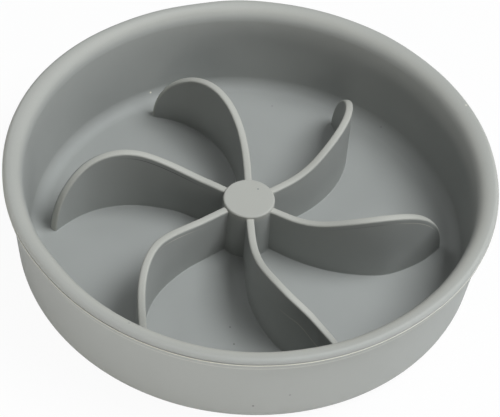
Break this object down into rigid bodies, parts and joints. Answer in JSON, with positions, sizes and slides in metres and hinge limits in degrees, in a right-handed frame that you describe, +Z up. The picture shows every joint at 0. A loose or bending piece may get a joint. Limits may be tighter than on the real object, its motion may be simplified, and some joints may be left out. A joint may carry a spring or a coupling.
{
  "type": "slow feeder bowl",
  "caption": "Low round silicone pet bowl with a rolled rim and curved upright vanes round a centre post, which slow down eating.",
  "frame": {"origin": "middle of the face that the bowl stands on", "axes": "+Z up along the bowl's axis; the first vane leaves the centre post along +Y"},
  "size_m": [0.2, 0.2, 0.046],
  "materials": {
    "silicone": "matte"
  },
  "bodies": {
    "root": {"rim": "silicone", "side_wall": "silicone", "wall_foot": "silicone", "floor": "silicone", "foot_ring": "silicone", "centre_post": "silicone", "vane_1": "silicone", "vane_2": "silicone", "vane_3": "silicone", "vane_4": "silicone", "vane_5": "silicone", "vane_6": "silicone"}
  },
  "joints": []
}
